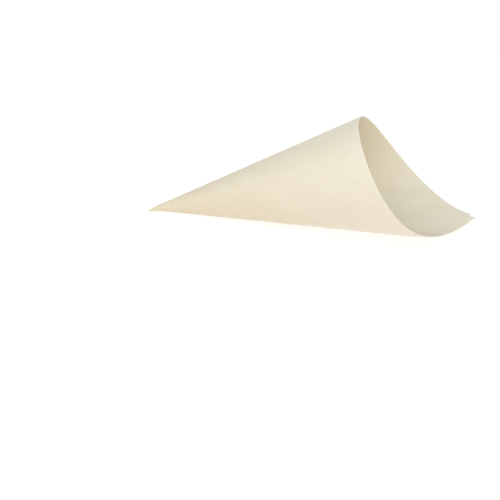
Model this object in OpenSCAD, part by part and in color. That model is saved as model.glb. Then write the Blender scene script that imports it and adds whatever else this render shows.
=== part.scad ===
// Food cone rolled from one square sheet of thin wood veneer.
// One corner of the square becomes the point of the cone, and the opposite corner
// becomes the pointed tail. The two edges that meet at the point lap over each other
// along the top and are glued. The open tail has nothing to keep it curved, so the
// sheet springs flat in a narrow strip from the point to the tail, and the cone lies
// on that strip, with its point toward -X.

/* [Veneer sheet] */
// Side of the square sheet
sheet_side = 170; // [80:5:200]
// Thickness of the veneer
veneer_t = 0.6; // [0.4:0.1:1]
// Length cut off the tail corner, which is too thin to stay sharp
tail_trim = 1; // [0.5:0.5:4]
// Turn about the cone's axis from the middle of the flat strip to its edge
strip_turn = 6; // [4:0.5:9]

/* [Glued seam] */
// Width of the lap, measured at the rim
seam_lap = 5.5; // [4:0.5:12]
// Depth to which the glued layers are pressed into each other
seam_press = 0.05; // [0.02:0.01:0.1]

/* [Point] */
// Length worn off the point
point_trim = 2.5; // [1.5:0.5:5]
// Length of the point that is rolled solid, from the true apex
point_solid = 7; // [6:0.5:15]

/* [Hidden] */
$fn = 180;

// The sheet's corner is a right angle, and the cone uses all of it but the lap
sheet_corner = 90;
lap_angle = asin(seam_lap / sheet_side);
// A sector rolls up to a cone whose half angle's sine is its share of a full turn
cone_half = asin((sheet_corner - lap_angle) / 360);
// Each half of the sheet passes the top by half the lap
half_turn = sheet_corner / 2 / sin(cone_half);

// Slant lengths from the apex: the square's diagonal, what is left of it, the uncut
// stock that the rim is cut from, and the cutter, which runs past the stock
tail_slant = sheet_side * sqrt(2);
trimmed_slant = tail_slant - tail_trim;
stock_slant = tail_slant + 2;
cutter_slant = stock_slant + 10;

// Distances along the axis to the worn end and to the bottom of the hollow
worn_along = point_trim * cos(cone_half);
solid_along = point_solid * cos(cone_half);
// Size of the block that cuts the worn end, more than the point's length and width
worn_block = 4 * point_trim;

// The veneer is cut square to its face, so across the axis the wall measures more
wall = veneer_t / cos(cone_half);
// From the quarter lines up to the seam, the near side rises by this and the far side
// sinks by as much, so that one layer comes to lie on the other
rise = (wall - seam_press) / 2;
// Turn about the axis, from the tail, of the two quarter lines where that starts
quarter = 90;
// The arcs of the wall run this far into each other at the quarter lines
arc_overlap = 10;
// Slope of the flat strip to the cone's axis
strip_half = atan(tan(cone_half) * cos(strip_turn));
// The plate of the strip is this much too thick below, and a block cuts it flat
strip_extra = 0.5;
// It is also a little narrower than the cut, so its edges end inside the round wall
plate_turn = 0.9 * strip_turn;

// The trimmed end of the tail runs from its middle to this turn about the axis
trim_turn = atan(tail_slant / trimmed_slant - 1) / sin(cone_half);

// The rim cutter follows each half of the rim in this many steps, and it reaches
// this far to both sides of the sheet, past the two layers of the lap
rim_steps = 60;
cutter_reach = 4 * veneer_t;

// The part lies on its strip, and the middle of its length is the origin
worn_x = point_trim * cos(cone_half + strip_half);
tail_x = trimmed_slant * cos(cone_half) / cos(strip_half);
middle_x = (worn_x + tail_x) / 2;
// Size of the block that cuts the underside flat, more than the part's length
floor_block = 2 * tail_slant;

// Radius of the cone across its axis, at a distance along the axis from the apex
function cone_r(along) = along * tan(cone_half);

// Slant length of the sheet at a turn about the axis, where 0 is the tail
function rim_slant(turn) =
    let (spread = abs(turn) * sin(cone_half))
    min(sheet_side / cos(sheet_corner / 2 - spread), trimmed_slant / cos(spread));

// Point at a slant length and a turn, raised off the cone's face by a height
function on_cone(slant, turn, height) =
    let (r = slant * sin(cone_half) + height * cos(cone_half))
    [r * cos(turn), r * sin(turn), slant * cos(cone_half) - height * sin(cone_half)];

// Section of the wall on one side of the axis, sloping to the axis by an angle.
// Both faces run down to the axis, so the wall closes to a point by itself.
module wall_section(slope, extra) {
    top = stock_slant * cos(cone_half);
    polygon([
        [extra, 0],
        [top * tan(slope) + extra, top],
        [top * tan(slope) - wall, top],
        [0, wall / tan(slope)]
    ]);
}

// Arc of the wall between two turns about an axis that is moved towards the tail
module wall_arc(start, end, moved) {
    translate([moved, 0, 0])
        rotate([0, 0, start])
            rotate_extrude(angle = end - start)
                wall_section(cone_half, 0);
}

// Plate that keeps the wall as thick over the flat strip as it is beside it
module strip_plate() {
    reach = stock_slant;
    side = reach * tan(plate_turn);
    intersection() {
        rotate([90, 0, 0])
            linear_extrude(2 * side, center = true)
                wall_section(strip_half, strip_extra);
        linear_extrude(reach)
            polygon([[0, 0], [reach, -side], [reach, side]]);
    }
}

// The rolled sheet: a round lower half with the strip's plate, a near side that ends
// past the top as the outer layer, and a far side that ends past the top as the inner
module rolled_sheet() {
    strip_plate();
    wall_arc(-quarter - arc_overlap, quarter + arc_overlap, 0);
    wall_arc(-half_turn, arc_overlap - quarter, -rise);
    wall_arc(quarter - arc_overlap, half_turn, rise);
}

// Core of the point, where the sheet is wound tight: it ends half way into the wall
module point_core() {
    low = worn_along / 2;
    translate([0, 0, low])
        cylinder(h = solid_along - low, r1 = cone_r(low) / 2, r2 = cone_r(solid_along) - wall / 2);
}

// Block that takes away the worn end of the point
module point_cutter() {
    translate([0, 0, worn_along - worn_block / 2])
        cube(worn_block, center = true);
}

// Ring that takes away everything past the sheet's two outer edges
module rim_cutter() {
    step = (180 - trim_turn) / rim_steps;
    far_turns = [for (k = [0 : rim_steps]) trim_turn + k * step];
    near_turns = [for (k = [rim_steps - 1 : -1 : 0]) -trim_turn - k * step];
    turns = concat([0], far_turns, near_turns);
    count = len(turns);
    points = [for (turn = turns) each [
        on_cone(rim_slant(turn), turn, -cutter_reach),
        on_cone(rim_slant(turn), turn, cutter_reach),
        on_cone(cutter_slant, turn, cutter_reach),
        on_cone(cutter_slant, turn, -cutter_reach)
    ]];
    faces = [for (k = [0 : count - 1], side = [0 : 3])
        let (
            here = 4 * k,
            next = 4 * ((k + 1) % count),
            other = (side + 1) % 4
        )
        each [
            [here + side, next + other, next + side],
            [here + side, here + other, next + other]
        ]
    ];
    polyhedron(points, faces);
}

// The cone cut to its outline, still upright on its point
module upright_cone() {
    difference() {
        union() {
            rolled_sheet();
            point_core();
        }
        point_cutter();
        rim_cutter();
    }
}

// The whole cone, lying on its strip, which a block below it cuts flat
module cone() {
    color("blanchedalmond")
        translate([-middle_x, 0, 0])
            difference() {
                rotate([0, 90 - strip_half, 0])
                    upright_cone();
                translate([0, 0, -floor_block / 2])
                    cube(floor_block, center = true);
            }
}

cone();
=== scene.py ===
"""Food cone rolled from one square sheet of thin wood veneer, on a pale floor."""

import math

import bpy
from mathutils import Matrix, Vector, noise


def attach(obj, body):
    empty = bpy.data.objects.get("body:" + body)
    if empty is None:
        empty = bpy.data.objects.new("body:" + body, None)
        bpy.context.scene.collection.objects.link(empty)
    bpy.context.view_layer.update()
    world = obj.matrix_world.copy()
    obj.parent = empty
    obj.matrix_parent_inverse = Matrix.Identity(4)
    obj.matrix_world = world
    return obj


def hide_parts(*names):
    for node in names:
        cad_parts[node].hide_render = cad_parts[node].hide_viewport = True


bl_info = {
    "name": "Veneer food cone",
    "version": (1, 0, 0),
    "blender": (4, 5, 0),
    "location": "3D View > Sidebar > Food cone",
    "description": "Rolls a square sheet of wood veneer to a food cone with a pointed tail",
    "category": "Add Mesh",
}

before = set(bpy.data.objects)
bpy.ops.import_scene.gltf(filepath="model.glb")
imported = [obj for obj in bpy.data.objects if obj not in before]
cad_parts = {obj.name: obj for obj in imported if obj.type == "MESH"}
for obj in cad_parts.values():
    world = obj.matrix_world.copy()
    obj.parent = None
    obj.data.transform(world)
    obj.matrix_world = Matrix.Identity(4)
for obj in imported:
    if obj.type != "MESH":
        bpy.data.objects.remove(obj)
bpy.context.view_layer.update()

QUARTER = math.radians(90)

# The origin is the middle of the solid model's length, whose ends are cut off by these
SOLID_POINT_TRIM = 0.0025
SOLID_TAIL_TRIM = 0.001

# Rows of the flat grid from the point to the outer edges, and across the sheet
STATIONS_ALONG = 72
STATIONS_ACROSS = 360
# Share of even spacing across the sheet; the rest crowds the stations towards the tail
EVEN_SPACING = 0.35

# A nick on the near side of the tail lies as far off the diagonal as the one on the far
# side. Its depth is this share of that one's, and its width this share of that distance.
NEAR_NICK_SHARE = 1 / 3
# The splinter's root is this many times as long as its tip's distance from the diagonal
SPLINTER_ROOT = 2
# Wear of the outer edges: shares that are even, finely uneven and coarsely uneven
EVEN_WEAR = 0.5
FINE_WEAR = 0.3
COARSE_WEAR = 0.4
# Uneven spots per metre of width
FINE_SPOTS = 900
COARSE_SPOTS = 160
# Ripples per radian round the axis
RIPPLES = 3.3
# Places in the noise, chosen apart so that no two patterns repeat each other
FINE_SEED = 3.1
COARSE_SEED = 7.7
RIPPLE_SEED = 1.7

# At the lap the inner face lies one and a half walls inside the cone's face, and the
# layers are drawn in to stay within this share of the way to the axis
LAP_DEPTH = 1.5
AXIS_SHARE = 0.95

# A vertex lies on the outer edge when it is closer to it than this
EDGE_TOLERANCE = 1e-5
# Two vertices lie level when their heights differ by less than this
LEVEL_TOLERANCE = 1e-6
# Faces in the rounding of an outer edge, from one side of it to the other
ROUNDING_FACES = 2
# Faces that meet at less than this angle are shaded as one smooth surface
SMOOTH_ANGLE = math.radians(40)

# Distances along the diagonal between which the point's colour turns into the rim's
TONE_START = 0.03
TONE_END = 0.16
# Where along the lap's edge the two painted glints start and end, and how wide they are: lighter dashes
# painted on the edge as highlights
PAINTED_GLINTS = ((0.1365, 0.1435), (0.152, 0.1565))
PAINTED_GLINT_WIDTH = 0.0011
# Share of a mark's length over which it fades at each of its ends
PAINTED_GLINT_FADE = 1 / 3
# A ramp runs from 0 to 1, so lengths along the edge are multiplied by this
METRES_TO_RAMP = 5
# How far red, green and blue light spread in the wood, as shares of the depth
LIGHT_SPREAD = (1.0, 0.85, 0.65)
# Strength of the bump that the fibres give, and the height of that bump
FIBRE_BUMP = 0.08
FIBRE_HEIGHT = 0.0001
# Index of refraction of the wood
WOOD_IOR = 1.45


class ConeSizes(bpy.types.PropertyGroup):
    """Sizes of the sheet and of the cone that it is rolled to."""

    sheet_side: bpy.props.FloatProperty(
        name="Sheet side",
        description="Side of the square sheet",
        default=0.17,
        min=0.08,
        max=0.2,
        unit="LENGTH",
    )
    veneer_t: bpy.props.FloatProperty(
        name="Veneer thickness",
        description="Thickness of the sheet",
        default=0.0006,
        min=0.0003,
        max=0.001,
        precision=5,
        unit="LENGTH",
    )
    seam_lap: bpy.props.FloatProperty(
        name="Seam lap",
        description="Width of the glued lap, measured at the rim",
        default=0.0055,
        min=0.004,
        max=0.012,
        precision=4,
        unit="LENGTH",
    )
    glue_gap: bpy.props.FloatProperty(
        name="Glue gap",
        description="Gap between the two layers of the lap",
        default=0.00002,
        min=0.0,
        max=0.0001,
        precision=5,
        unit="LENGTH",
    )
    point_trim: bpy.props.FloatProperty(
        name="Point trim",
        description="Length worn off the point",
        default=0.0016,
        min=0.001,
        max=0.005,
        precision=4,
        unit="LENGTH",
    )
    tail_reach: bpy.props.FloatProperty(
        name="Tail reach",
        description="Length by which the tail's tip stands out past the corner of a true square",
        default=0.0011,
        min=0.0,
        max=0.002,
        precision=4,
        unit="LENGTH",
    )
    reach_width: bpy.props.FloatProperty(
        name="Reach width",
        description="Distance from the diagonal at which the outline is that of a true square again",
        default=0.02,
        min=0.005,
        max=0.04,
        unit="LENGTH",
    )
    strip_turn: bpy.props.FloatProperty(
        name="Flat strip",
        description="Turn about the axis from the middle of the flat strip to its edge",
        default=math.radians(6),
        min=math.radians(4),
        max=math.radians(9),
        unit="ROTATION",
    )
    tail_lift: bpy.props.FloatProperty(
        name="Tail lift",
        description="Height to which the tail curls up off the floor",
        default=0.0062,
        min=0.0,
        max=0.012,
        precision=4,
        unit="LENGTH",
    )
    lift_length: bpy.props.FloatProperty(
        name="Lifted length",
        description="Length of the tail that curls up",
        default=0.055,
        min=0.02,
        max=0.07,
        unit="LENGTH",
    )
    edge_bevel: bpy.props.FloatProperty(
        name="Edge rounding",
        description="Width of the rounding on the sheet's outer edges",
        default=0.00012,
        min=0.00005,
        max=0.0002,
        precision=5,
        unit="LENGTH",
    )
    edge_wear: bpy.props.FloatProperty(
        name="Edge wear",
        description="Depth of the small uneven spots along the sheet's outer edges",
        default=0.00015,
        min=0.0,
        max=0.0005,
        precision=5,
        unit="LENGTH",
    )
    nick_depth: bpy.props.FloatProperty(
        name="Nick depth",
        description="Depth of the torn nick on the far side of the tail's tip",
        default=0.0021,
        min=0.0,
        max=0.003,
        precision=4,
        unit="LENGTH",
    )
    nick_place: bpy.props.FloatProperty(
        name="Nick place",
        description="Distance of the deepest spot of the nick from the diagonal",
        default=0.0023,
        min=0.001,
        max=0.006,
        precision=4,
        unit="LENGTH",
    )
    splinter_reach: bpy.props.FloatProperty(
        name="Splinter reach",
        description="Length by which the splinter beside the nick stands out",
        default=0.0019,
        min=0.0,
        max=0.002,
        precision=4,
        unit="LENGTH",
    )
    splinter_place: bpy.props.FloatProperty(
        name="Splinter place",
        description="Distance of the splinter's tip from the diagonal",
        default=0.0042,
        min=0.002,
        max=0.008,
        precision=4,
        unit="LENGTH",
    )
    point_lean: bpy.props.FloatProperty(
        name="Point lean",
        description="Distance by which the tip of the point leans to the near side",
        default=0.003,
        min=0.0,
        max=0.005,
        precision=4,
        unit="LENGTH",
    )
    lean_length: bpy.props.FloatProperty(
        name="Leaning length",
        description="Length of the point that leans",
        default=0.014,
        min=0.005,
        max=0.03,
        unit="LENGTH",
    )
    ripple: bpy.props.FloatProperty(
        name="Ripple",
        description="Height of the faint ripples along the wall at the rim",
        default=0.00012,
        min=0.0,
        max=0.0005,
        precision=5,
        unit="LENGTH",
    )


class ConeFinish(bpy.types.PropertyGroup):
    """Colours and surface of the veneer."""

    rim_wood: bpy.props.FloatVectorProperty(
        name="Wood at the rim",
        description="Colour of the veneer towards the rim and the tail",
        default=(0.783, 0.723, 0.595),
        min=0.0,
        max=1.0,
        subtype="COLOR",
    )
    point_wood: bpy.props.FloatVectorProperty(
        name="Wood at the point",
        description="Colour of the veneer towards the point, where it is a little yellower",
        default=(0.763, 0.66, 0.495),
        min=0.0,
        max=1.0,
        subtype="COLOR",
    )
    grain_tint: bpy.props.FloatVectorProperty(
        name="Grain lines",
        description="Tint of the faint grain lines, which the wood's colour is multiplied by",
        default=(0.985, 0.975, 0.955),
        min=0.0,
        max=1.0,
        subtype="COLOR",
    )
    fibre_tint: bpy.props.FloatVectorProperty(
        name="Fibres",
        description="Tint of the fine short fibres, which the wood's colour is multiplied by",
        default=(0.97, 0.957, 0.928),
        min=0.0,
        max=1.0,
        subtype="COLOR",
    )
    glow_through: bpy.props.FloatProperty(
        name="Translucence",
        description="Share of the light that enters the thin wood and partly shines through it",
        default=0.6,
        min=0.0,
        max=1.0,
        subtype="FACTOR",
    )
    glow_depth: bpy.props.FloatProperty(
        name="Translucence depth",
        description="Depth to which light spreads in the wood",
        default=0.001,
        min=0.0,
        max=0.005,
        precision=4,
        unit="LENGTH",
    )
    # Colour of the painted glints: light dashes painted on the lap's edge as highlights
    painted_glint_colour: bpy.props.FloatVectorProperty(
        name="Painted glints",
        description="Colour of the two painted glints on the edge of the lap",
        default=(0.89, 0.865, 0.79),
        min=0.0,
        max=1.0,
        subtype="COLOR",
    )
    roughness: bpy.props.FloatProperty(
        name="Roughness",
        description="Roughness of the bare wood",
        default=0.55,
        min=0.0,
        max=1.0,
        subtype="FACTOR",
    )


class StageLook(bpy.types.PropertyGroup):
    """Floor, lights and camera."""

    floor_side: bpy.props.FloatProperty(
        name="Floor side",
        description="Side of the square floor",
        default=60.0,
        min=1.0,
        unit="LENGTH",
    )
    floor_colour: bpy.props.FloatVectorProperty(
        name="Floor colour",
        description="Colour of the floor",
        default=(0.28, 0.28, 0.28),
        min=0.0,
        max=1.0,
        subtype="COLOR",
    )
    floor_glow: bpy.props.FloatProperty(
        name="Floor glow",
        description="Light that the floor gives off by itself, as a light table does",
        default=0.81,
        min=0.0,
    )
    glow_colour: bpy.props.FloatVectorProperty(
        name="Glow colour",
        description="Colour of the light that the floor gives off",
        default=(1.0, 0.97, 0.945),
        min=0.0,
        max=1.0,
        subtype="COLOR",
    )
    sky_strength: bpy.props.FloatProperty(
        name="Sky strength",
        description="Strength of the even light from all around",
        default=0.176,
        min=0.0,
    )
    backdrop_strength: bpy.props.FloatProperty(
        name="Backdrop brightness",
        description="Brightness of the plain backdrop past the floor, which gives no light itself",
        default=0.85,
        min=0.0,
    )
    high_colour: bpy.props.FloatVectorProperty(
        name="High light",
        description="Colour of the soft boxes that stand high",
        default=(0.81, 0.91, 1.0),
        min=0.0,
        max=1.0,
        subtype="COLOR",
    )
    low_left_colour: bpy.props.FloatVectorProperty(
        name="Low left light",
        description="Colour of the low soft box on the left",
        default=(1.0, 0.82, 0.7),
        min=0.0,
        max=1.0,
        subtype="COLOR",
    )
    low_right_colour: bpy.props.FloatVectorProperty(
        name="Low right light",
        description="Colour of the low soft box on the right",
        default=(0.98, 0.91, 0.78),
        min=0.0,
        max=1.0,
        subtype="COLOR",
    )
    box_side: bpy.props.FloatProperty(
        name="Soft box side",
        description="Side of each square soft box",
        default=0.9,
        min=0.1,
        unit="LENGTH",
    )
    box_distance: bpy.props.FloatProperty(
        name="Soft box distance",
        description="Distance from each soft box to the cone",
        default=1.6,
        min=0.5,
        unit="LENGTH",
    )
    front_power: bpy.props.FloatProperty(
        name="Front box",
        description="Power of the soft box in front, above the camera",
        default=8.7,
        min=0.0,
        unit="POWER",
    )
    left_power: bpy.props.FloatProperty(
        name="Left box",
        description="Power of the high soft box on the left, on the side of the point",
        default=9.9,
        min=0.0,
        unit="POWER",
    )
    right_power: bpy.props.FloatProperty(
        name="Right box",
        description="Power of the high soft box on the right, on the side of the tail",
        default=3.5,
        min=0.0,
        unit="POWER",
    )
    back_power: bpy.props.FloatProperty(
        name="Back box",
        description="Power of the soft box behind",
        default=3.6,
        min=0.0,
        unit="POWER",
    )
    top_power: bpy.props.FloatProperty(
        name="Top box",
        description="Power of the soft box overhead",
        default=4.1,
        min=0.0,
        unit="POWER",
    )
    low_left_power: bpy.props.FloatProperty(
        name="Low left box",
        description="Power of the low soft box on the left",
        default=4.0,
        min=0.0,
        unit="POWER",
    )
    low_right_power: bpy.props.FloatProperty(
        name="Low right box",
        description="Power of the low soft box on the right",
        default=7.2,
        min=0.0,
        unit="POWER",
    )
    camera_aim: bpy.props.FloatVectorProperty(
        name="Camera aim",
        description="Point of the floor that the camera aims at",
        default=(-0.0419, -0.0409, 0.0),
        subtype="TRANSLATION",
        unit="LENGTH",
    )
    camera_distance: bpy.props.FloatProperty(
        name="Camera distance",
        description="Distance from the camera to the point of the floor that it aims at",
        default=0.7204,
        min=0.1,
        unit="LENGTH",
    )
    camera_height: bpy.props.FloatProperty(
        name="Camera elevation",
        description="Angle of the camera above the horizon",
        default=math.radians(40.03),
        unit="ROTATION",
    )
    camera_turn: bpy.props.FloatProperty(
        name="Camera turn",
        description="Turn of the camera about the upright axis",
        default=math.radians(2.6),
        unit="ROTATION",
    )
    camera_roll: bpy.props.FloatProperty(
        name="Camera roll",
        description="Turn of the camera about its own view",
        default=math.radians(1.0),
        unit="ROTATION",
    )
    camera_lens: bpy.props.FloatProperty(
        name="Lens",
        description="Focal length of the camera, in millimetres",
        default=73.24,
        min=10.0,
    )


def cone_shape(sizes):
    """Half angle of the cone that the sheet rolls up to, and how its axis leans to the floor."""
    lap_angle = math.asin(sizes.seam_lap / sizes.sheet_side)
    half_angle = math.asin((QUARTER - lap_angle) / math.tau)
    lean = math.atan(math.tan(half_angle) * math.cos(sizes.strip_turn))
    return half_angle, lean


def tail_slant(sizes):
    """Length of the square's diagonal."""
    return sizes.sheet_side * math.sqrt(2)


def torn_end(across, sizes):
    """Depth torn off the tail's outline, at a distance from the diagonal."""
    nick, splinter = sizes.nick_place, sizes.splinter_place
    near_nick = NEAR_NICK_SHARE * sizes.nick_depth
    near_nick *= math.exp(-(((across + nick) / (NEAR_NICK_SHARE * nick)) ** 2))
    if across < nick:
        return near_nick + sizes.nick_depth * max(0, across) / nick
    if across < splinter:
        share = (across - nick) / (splinter - nick)
        return sizes.nick_depth * (1 - share) - sizes.splinter_reach * share
    root = max(0, 1 - (across - splinter) / (SPLINTER_ROOT * splinter))
    return -sizes.splinter_reach * root**2


def sheet_edge(spread, sizes):
    """Distance from the point's corner to the worn outer edge, at an angle off the diagonal."""
    square = sizes.sheet_side / math.cos(QUARTER / 2 - abs(spread))
    across = square * math.sin(spread)
    reach = sizes.tail_reach * max(0, 1 - abs(across) / sizes.reach_width) ** 2
    fine = noise.noise(Vector((across * FINE_SPOTS, FINE_SEED, 0)))
    coarse = noise.noise(Vector((across * COARSE_SPOTS, COARSE_SEED, 0)))
    worn = sizes.edge_wear * (EVEN_WEAR + FINE_WEAR * fine + COARSE_WEAR * coarse)
    return square + reach - worn - torn_end(across, sizes)


def lay_out_sheet(sheet, sizes):
    """Spreads a unit grid to the square sheet.

    The corner of the point comes to the origin, and the diagonal runs along X.
    """
    for vertex in sheet.data.vertices:
        along = vertex.co.x + 0.5
        across = 2 * vertex.co.y
        spread = QUARTER / 2 * (EVEN_SPACING * across + (1 - EVEN_SPACING) * across**3)
        reach = sizes.point_trim + along * (sheet_edge(spread, sizes) - sizes.point_trim)
        vertex.co = (reach * math.cos(spread), reach * math.sin(spread), 0)


def thicken_sheet(sheet, sizes):
    """Gives the flat sheet its thickness, upwards from the face that becomes the outside."""
    solidify = sheet.modifiers.new("thickness", "SOLIDIFY")
    solidify.thickness = sizes.veneer_t
    solidify.offset = 1
    bpy.ops.object.modifier_apply(modifier=solidify.name)


def on_outer_edge(place, sizes):
    """Whether a place of the flat sheet lies on one of its two outer edges."""
    reach = sheet_edge(math.atan2(place.y, place.x), sizes)
    return math.hypot(place.x, place.y) > reach - EDGE_TOLERANCE


def round_outer_edges(sheet, sizes):
    """Rounds the corners along the two outer edges of the sheet."""
    for vertex in sheet.data.vertices:
        vertex.select = False
    for face in sheet.data.polygons:
        face.select = False
    for edge in sheet.data.edges:
        ends = [sheet.data.vertices[i].co for i in edge.vertices]
        level = abs(ends[0].z - ends[1].z) < LEVEL_TOLERANCE
        edge.select = level and all(on_outer_edge(end, sizes) for end in ends)
    bpy.ops.object.mode_set(mode="EDIT")
    bpy.ops.mesh.select_mode(type="EDGE")
    bpy.ops.mesh.bevel(
        offset=sizes.edge_bevel, segments=ROUNDING_FACES, affect="EDGES", clamp_overlap=False
    )
    bpy.ops.object.mode_set(mode="OBJECT")


def map_grain(sheet):
    """Writes the place on the flat sheet into the UV map, in metres, so that the grain follows the wood."""
    layer = sheet.data.uv_layers.active or sheet.data.uv_layers.new(name="sheet")
    layer.name = "sheet"
    for loop in sheet.data.loops:
        place = sheet.data.vertices[loop.vertex_index].co
        layer.data[loop.index].uv = (place.x, place.y)


def rolled(place, sizes):
    """Where a place of the flat sheet comes to lie once it is rolled and rests on its strip.

    The apex of the cone is at the origin, and the tail points to +X.
    """
    half_angle, lean = cone_shape(sizes)
    slant = math.hypot(place.x, place.y)
    turn = math.atan2(place.y, place.x) / math.sin(half_angle)
    radius = slant * math.sin(half_angle)
    # Past the quarter lines the near side rises and the far side sinks, by half a layer
    wall = sizes.veneer_t / math.cos(half_angle)
    lift = 0
    if abs(turn) > QUARTER:
        lift = (wall + sizes.glue_gap) / 2 * math.cos(turn) ** 2 * (-1 if turn > 0 else 1)
    # Towards the point the layers are wound tight, so that none crosses the axis
    tight = min(1, AXIS_SHARE * radius / (LAP_DEPTH * wall))
    inward = place.z * tight
    radius += lift * tight
    # The strip that the cone lies on is flat
    flat = min(1, math.cos(sizes.strip_turn) / math.cos(turn)) if abs(turn) < QUARTER else 1
    radius *= flat
    # Faint ripples run along the wall and fade out towards the strip, the seam and the point
    share = slant / tail_slant(sizes)
    ripple = noise.noise(Vector((turn * RIPPLES, RIPPLE_SEED, share)))
    radius += sizes.ripple * share**2 * math.sin(turn) ** 2 * ripple
    across = radius - inward * math.cos(half_angle)
    along = slant * math.cos(half_angle) + inward * math.sin(half_angle)
    down = across * math.cos(turn)
    x = along * math.cos(lean) + down * math.sin(lean)
    z = along * math.sin(lean) - down * math.cos(lean)
    # The tail curls up off the floor, and the tip of the point leans to the near side
    start = tail_slant(sizes) - sizes.lift_length
    curl = max(0, slant - start) / sizes.lift_length
    bent = max(0, 1 - slant / sizes.lean_length)
    y = across * math.sin(turn) - sizes.point_lean * bent**2
    return Vector((x, y, z + sizes.tail_lift * curl**2))


def roll_up(sheet, sizes):
    """Rolls the flat sheet to the cone and moves it to its place on the floor."""
    half_angle, lean = cone_shape(sizes)
    worn_end = SOLID_POINT_TRIM * math.cos(half_angle + lean)
    tail_end = (tail_slant(sizes) - SOLID_TAIL_TRIM) * math.cos(half_angle) / math.cos(lean)
    middle = Vector(((worn_end + tail_end) / 2, 0, 0))
    for vertex in sheet.data.vertices:
        vertex.co = rolled(vertex.co, sizes) - middle


def link(material, source, output, target, name):
    """Joins a node's output to another node's input, each given by its name or its number."""
    material.node_tree.links.new(source.outputs[output], target.inputs[name])


def veneer_material(finish):
    """Bare pale veneer, matt, with faint grain lines and fibres along the sheet's diagonal, and two painted
    highlights on the lap's edge.
    """
    material = bpy.data.materials.new("veneer")
    material.use_nodes = True
    nodes = material.node_tree.nodes
    shader = nodes["Principled BSDF"]

    place = nodes.new("ShaderNodeUVMap")
    place.uv_map = "sheet"

    def stretched_noise(label, scale_along, scale_across, detail, distortion):
        """Noise drawn out along the grain, with its spots per metre along and across it."""
        mapping = nodes.new("ShaderNodeMapping")
        mapping.label = label
        mapping.inputs["Scale"].default_value = (scale_along, scale_across, 1)
        link(material, place, "UV", mapping, "Vector")
        pattern = nodes.new("ShaderNodeTexNoise")
        pattern.label = label
        pattern.inputs["Scale"].default_value = 1
        pattern.inputs["Detail"].default_value = detail
        pattern.inputs["Distortion"].default_value = distortion
        link(material, mapping, "Vector", pattern, "Vector")
        return pattern

    growth = stretched_noise("growth lines", scale_along=9, scale_across=260, detail=3, distortion=0.6)
    fibres = stretched_noise("fibres", scale_along=160, scale_across=3200, detail=2, distortion=0)

    along = nodes.new("ShaderNodeSeparateXYZ")
    link(material, place, "UV", along, "Vector")
    tone = nodes.new("ShaderNodeMapRange")
    tone.label = "from the point to the rim"
    tone.inputs["From Min"].default_value = TONE_START
    tone.inputs["From Max"].default_value = TONE_END
    link(material, along, "X", tone, "Value")
    wood = nodes.new("ShaderNodeMix")
    wood.label = "wood"
    wood.data_type = "RGBA"
    wood.inputs["A"].default_value = (*finish.point_wood, 1)
    wood.inputs["B"].default_value = (*finish.rim_wood, 1)
    link(material, tone, "Result", wood, "Factor")

    def tinted(label, colour, pattern, tint, lowest, highest):
        """Colour that is multiplied by the tint where the pattern is low, and less and less above."""
        shade = nodes.new("ShaderNodeValToRGB")
        shade.label = label
        shade.color_ramp.elements[0].position = lowest
        shade.color_ramp.elements[0].color = (*tint, 1)
        shade.color_ramp.elements[1].position = highest
        shade.color_ramp.elements[1].color = (1, 1, 1, 1)
        link(material, pattern, "Fac", shade, "Fac")
        mixed = nodes.new("ShaderNodeMix")
        mixed.label = label
        mixed.data_type = "RGBA"
        mixed.blend_type = "MULTIPLY"
        mixed.inputs["Factor"].default_value = 1
        link(material, colour, "Result", mixed, "A")
        link(material, shade, "Color", mixed, "B")
        return mixed

    grained = tinted("grain lines", wood, growth, finish.grain_tint, lowest=0.35, highest=0.62)
    fibrous = tinted("short fibres", grained, fibres, finish.fibre_tint, lowest=0.36, highest=0.52)

    # Two painted glints: lighter dashes painted on the lap's edge as highlights
    # The near edge of the sheet runs at 45 degrees to the diagonal, so the map is turned to it
    turned = nodes.new("ShaderNodeMapping")
    turned.label = "along and off the lap's edge"
    turned.inputs["Rotation"].default_value = (0, 0, QUARTER / 2)
    link(material, place, "UV", turned, "Vector")
    edge_place = nodes.new("ShaderNodeSeparateXYZ")
    link(material, turned, "Vector", edge_place, "Vector")
    off_edge = nodes.new("ShaderNodeMapRange")
    off_edge.label = "width of the painted glints"
    off_edge.inputs["From Min"].default_value = PAINTED_GLINT_WIDTH / 2
    off_edge.inputs["From Max"].default_value = PAINTED_GLINT_WIDTH
    off_edge.inputs["To Min"].default_value = 1
    off_edge.inputs["To Max"].default_value = 0
    link(material, edge_place, "Y", off_edge, "Value")
    marks = nodes.new("ShaderNodeValToRGB")
    marks.label = "painted glints along the lap"
    marks.color_ramp.elements[0].color = (0, 0, 0, 1)
    marks.color_ramp.elements[1].color = (0, 0, 0, 1)
    for start, end in PAINTED_GLINTS:
        fade = PAINTED_GLINT_FADE * (end - start)
        for spot, shade in ((start, 0), (start + fade, 1), (end - fade, 1), (end, 0)):
            marks.color_ramp.elements.new(spot * METRES_TO_RAMP).color = (shade, shade, shade, 1)
    scaled = nodes.new("ShaderNodeMath")
    scaled.operation = "MULTIPLY"
    scaled.inputs[1].default_value = METRES_TO_RAMP
    link(material, edge_place, "X", scaled, 0)
    link(material, scaled, "Value", marks, "Fac")
    # Where the painted highlights lie: the light dashes on the lap's edge
    glued = nodes.new("ShaderNodeMath")
    glued.operation = "MULTIPLY"
    link(material, off_edge, "Result", glued, 0)
    link(material, marks, "Color", glued, 1)
    # Mixes the colour of the painted highlights into the wood
    finished = nodes.new("ShaderNodeMix")
    finished.label = "wood with painted glints"
    finished.data_type = "RGBA"
    finished.inputs["B"].default_value = (*finish.painted_glint_colour, 1)
    link(material, glued, "Value", finished, "Factor")
    link(material, fibrous, "Result", finished, "A")
    link(material, finished, "Result", shader, "Base Color")

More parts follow.
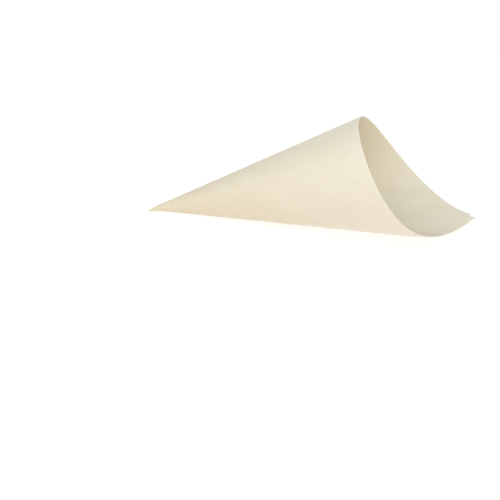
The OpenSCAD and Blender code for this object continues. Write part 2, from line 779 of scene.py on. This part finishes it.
    bump = nodes.new("ShaderNodeBump")
    bump.inputs["Strength"].default_value = FIBRE_BUMP
    bump.inputs["Distance"].default_value = FIBRE_HEIGHT
    link(material, fibres, "Fac", bump, "Height")
    link(material, bump, "Normal", shader, "Normal")

    shader.inputs["Subsurface Weight"].default_value = finish.glow_through
    shader.inputs["Subsurface Radius"].default_value = LIGHT_SPREAD
    shader.inputs["Subsurface Scale"].default_value = finish.glow_depth
    shader.inputs["Roughness"].default_value = finish.roughness
    shader.inputs["IOR"].default_value = WOOD_IOR
    return material


class MESH_OT_food_cone_add(bpy.types.Operator):
    """Roll a square veneer sheet to a cone and lay it on its flat strip"""

    bl_idname = "mesh.food_cone_add"
    bl_label = "Veneer cone"
    bl_options = {"REGISTER", "UNDO"}

    def execute(self, context):
        sizes = context.scene.cone_sizes
        bpy.ops.object.select_all(action="DESELECT")
        bpy.ops.mesh.primitive_grid_add(
            x_subdivisions=STATIONS_ALONG, y_subdivisions=STATIONS_ACROSS, size=1, location=(0, 0, 0)
        )
        sheet = context.active_object
        sheet.name = "veneer_cone"
        sheet.data.name = "veneer_cone"
        lay_out_sheet(sheet, sizes)
        thicken_sheet(sheet, sizes)
        round_outer_edges(sheet, sizes)
        map_grain(sheet)
        roll_up(sheet, sizes)
        bpy.ops.object.shade_smooth_by_angle(angle=SMOOTH_ANGLE)
        sheet.data.materials.append(veneer_material(context.scene.cone_finish))
        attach(sheet, "root")
        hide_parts("cone")
        return {"FINISHED"}


def seen_from(turn, height):
    """Direction from the cone to a place at a turn from the front and an angle above the floor."""
    return Vector(
        (
            math.sin(turn) * math.cos(height),
            -math.cos(turn) * math.cos(height),
            math.sin(height),
        )
    )


def add_soft_box(name, turn, height, power, colour, look):
    """Square soft light that faces the cone, with its angles in degrees, unseen by the camera itself."""
    away = seen_from(math.radians(turn), math.radians(height))
    bpy.ops.object.light_add(type="AREA", location=away * look.box_distance)
    light = bpy.context.active_object
    light.name = name
    light.data.name = name
    light.data.size = look.box_side
    light.data.energy = power
    light.data.color = colour
    light.visible_camera = False
    light.rotation_euler = away.to_track_quat("Z", "Y").to_euler()


def light_from_around(scene, look):
    """Even white light from all around, and a pale backdrop where the view passes over the floor."""
    world = bpy.data.worlds.new("sky")
    scene.world = world
    world.use_nodes = True
    tree = world.node_tree
    tree.nodes.clear()
    sky = tree.nodes.new("ShaderNodeBackground")
    sky.inputs["Strength"].default_value = look.sky_strength
    backdrop = tree.nodes.new("ShaderNodeBackground")
    backdrop.inputs["Strength"].default_value = look.backdrop_strength
    for shader in (sky, backdrop):
        shader.inputs["Color"].default_value = (1, 1, 1, 1)
    path = tree.nodes.new("ShaderNodeLightPath")
    choice = tree.nodes.new("ShaderNodeMixShader")
    output = tree.nodes.new("ShaderNodeOutputWorld")
    tree.links.new(path.outputs["Is Camera Ray"], choice.inputs["Fac"])
    tree.links.new(sky.outputs["Background"], choice.inputs[1])
    tree.links.new(backdrop.outputs["Background"], choice.inputs[2])
    tree.links.new(choice.outputs["Shader"], output.inputs["Surface"])


class SCENE_OT_food_cone_stage(bpy.types.Operator):
    """Add the pale floor, the soft lights and the camera"""

    bl_idname = "scene.food_cone_stage"
    bl_label = "Floor, lights and camera"
    bl_options = {"REGISTER", "UNDO"}

    def execute(self, context):
        look = context.scene.cone_stage
        bpy.ops.object.select_all(action="DESELECT")
        bpy.ops.mesh.primitive_plane_add(size=look.floor_side, location=(0, 0, 0))
        floor = context.active_object
        floor.name = "floor"
        material = bpy.data.materials.new("floor")
        material.use_nodes = True
        shader = material.node_tree.nodes["Principled BSDF"]
        shader.inputs["Base Color"].default_value = (*look.floor_colour, 1)
        shader.inputs["Roughness"].default_value = 1.0
        shader.inputs["Specular IOR Level"].default_value = 0.0
        shader.inputs["Emission Color"].default_value = (*look.glow_colour, 1)
        shader.inputs["Emission Strength"].default_value = look.floor_glow
        floor.data.materials.append(material)

        light_from_around(context.scene, look)
        context.scene.view_settings.view_transform = "Standard"

        high, white = look.high_colour, (1, 1, 1)
        add_soft_box("front box", turn=0, height=50, power=look.front_power, colour=high, look=look)
        add_soft_box("left box", turn=-75, height=50, power=look.left_power, colour=high, look=look)
        add_soft_box("right box", turn=75, height=50, power=look.right_power, colour=high, look=look)
        add_soft_box("back box", turn=180, height=30, power=look.back_power, colour=white, look=look)
        add_soft_box("top box", turn=0, height=89, power=look.top_power, colour=high, look=look)
        add_soft_box(
            "low left box",
            turn=-60,
            height=15,
            power=look.low_left_power,
            colour=look.low_left_colour,
            look=look,
        )
        add_soft_box(
            "low right box",
            turn=50,
            height=13,
            power=look.low_right_power,
            colour=look.low_right_colour,
            look=look,
        )

        facing = (
            Matrix.Rotation(look.camera_turn, 4, "Z")
            @ Matrix.Rotation(QUARTER - look.camera_height, 4, "X")
            @ Matrix.Rotation(look.camera_roll, 4, "Z")
        )
        bpy.ops.object.camera_add()
        camera = context.active_object
        camera.name = "camera"
        camera.data.lens = look.camera_lens
        back = facing @ Vector((0, 0, look.camera_distance))
        camera.matrix_world = Matrix.Translation(Vector(look.camera_aim) + back) @ facing
        context.scene.camera = camera
        return {"FINISHED"}


class VIEW3D_PT_food_cone(bpy.types.Panel):
    """Sidebar panel with the cone's sizes, its finish and the stage"""

    bl_label = "Food cone"
    bl_idname = "VIEW3D_PT_food_cone"
    bl_space_type = "VIEW_3D"
    bl_region_type = "UI"
    bl_category = "Food cone"

    def draw(self, context):
        for group, operator in (
            (context.scene.cone_sizes, None),
            (context.scene.cone_finish, MESH_OT_food_cone_add.bl_idname),
            (context.scene.cone_stage, SCENE_OT_food_cone_stage.bl_idname),
        ):
            box = self.layout.box()
            for name in group.__annotations__:
                box.prop(group, name)
            if operator:
                box.operator(operator)


CLASSES = (
    ConeSizes,
    ConeFinish,
    StageLook,
    MESH_OT_food_cone_add,
    SCENE_OT_food_cone_stage,
    VIEW3D_PT_food_cone,
)


def register():
    for cls in CLASSES:
        bpy.utils.register_class(cls)
    bpy.types.Scene.cone_sizes = bpy.props.PointerProperty(type=ConeSizes)
    bpy.types.Scene.cone_finish = bpy.props.PointerProperty(type=ConeFinish)
    bpy.types.Scene.cone_stage = bpy.props.PointerProperty(type=StageLook)


def unregister():
    del bpy.types.Scene.cone_stage
    del bpy.types.Scene.cone_finish
    del bpy.types.Scene.cone_sizes
    for cls in reversed(CLASSES):
        bpy.utils.unregister_class(cls)


def main():
    register()
    bpy.ops.mesh.food_cone_add()
    bpy.ops.scene.food_cone_stage()


if __name__ == "__main__":
    main()
